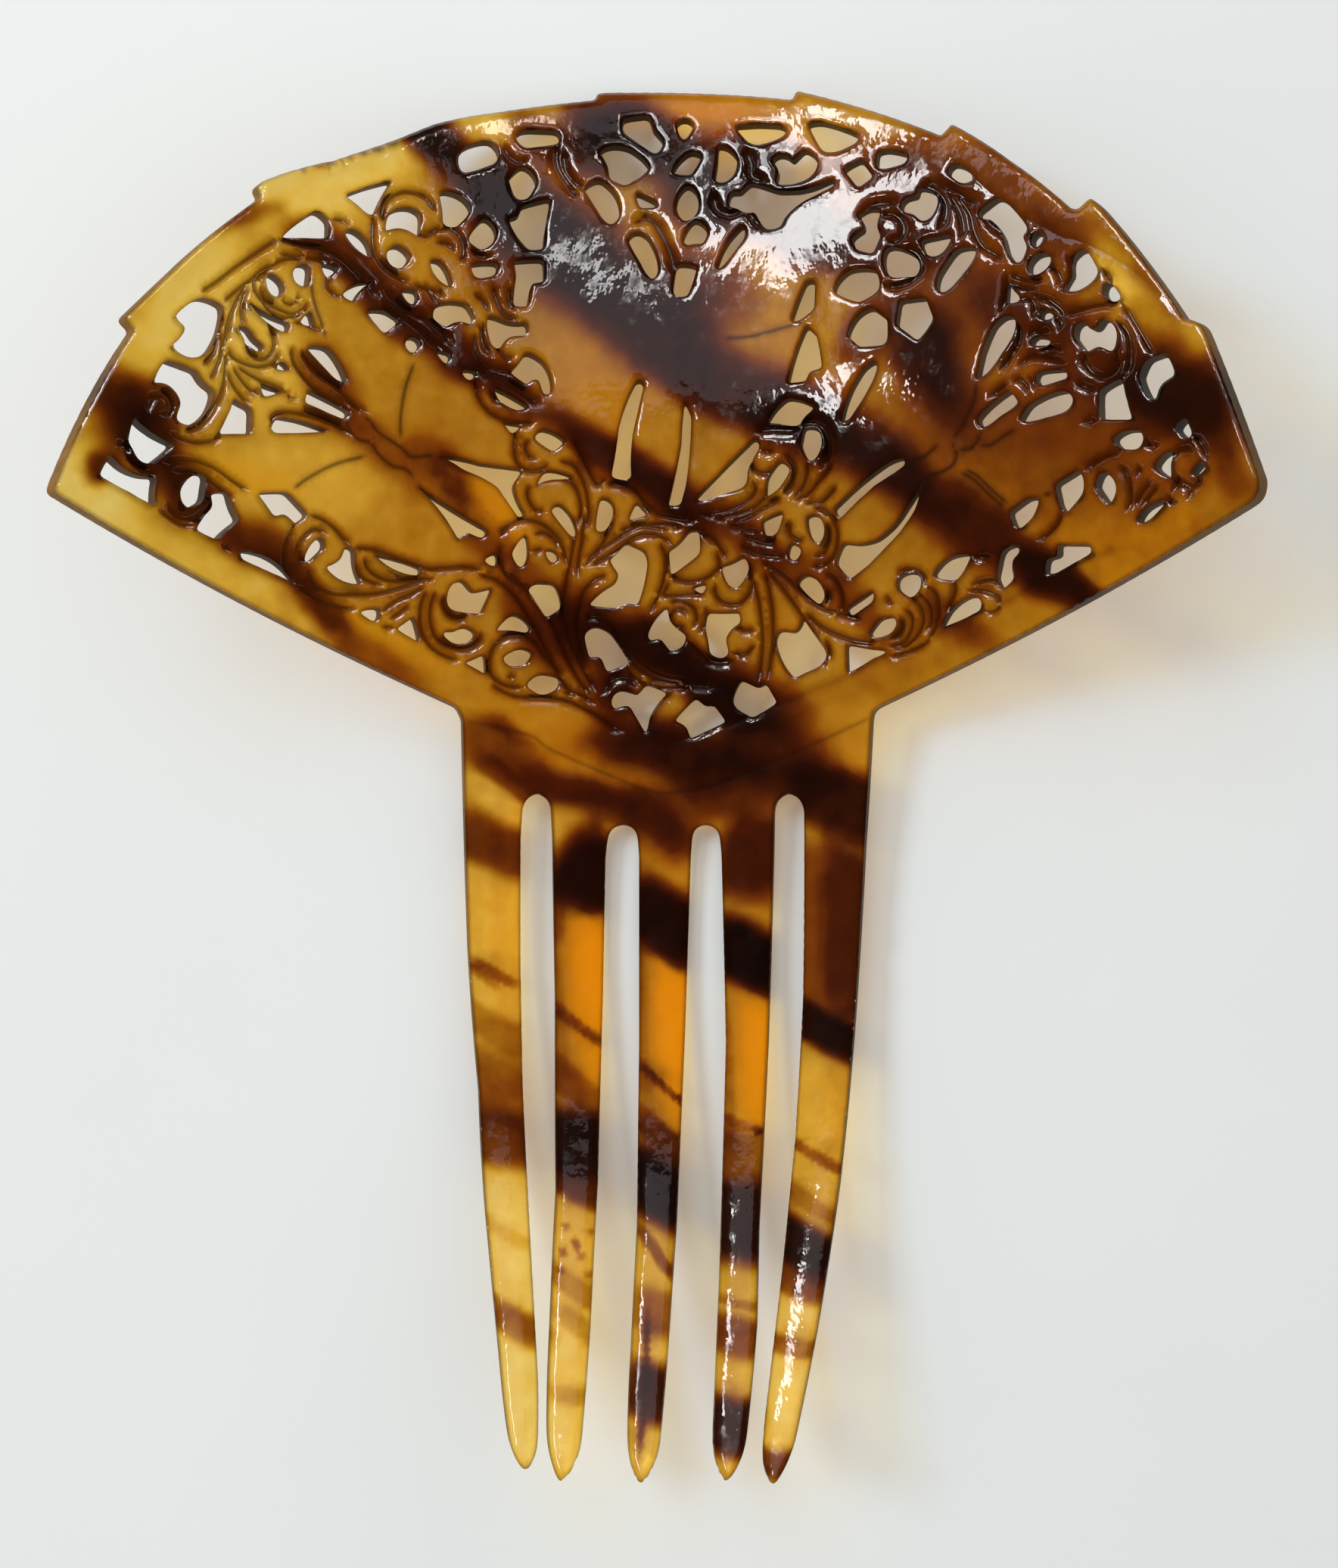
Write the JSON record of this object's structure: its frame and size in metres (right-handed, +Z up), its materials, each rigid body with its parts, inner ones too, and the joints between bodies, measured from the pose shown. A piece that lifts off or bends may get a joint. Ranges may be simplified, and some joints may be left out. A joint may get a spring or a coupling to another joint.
{
  "type": "mantilla comb",
  "caption": "Tall hair comb in bent sheet: pierced fan heading with butterflies among scrolls, plain tooth plate and long teeth.",
  "frame": {"origin": "centre of the comb's box, on the surface that it lies on", "axes": "+Z up, away from the surface and toward the hollow side; +Y toward the fan's top edge; teeth toward -Y"},
  "size_m": [0.1622, 0.202, 0.041],
  "materials": {
    "comb": "polished tortoiseshell pattern, amber with dark brown bands, slightly translucent"
  },
  "bodies": {
    "root": {"comb": "comb"}
  },
  "joints": []
}
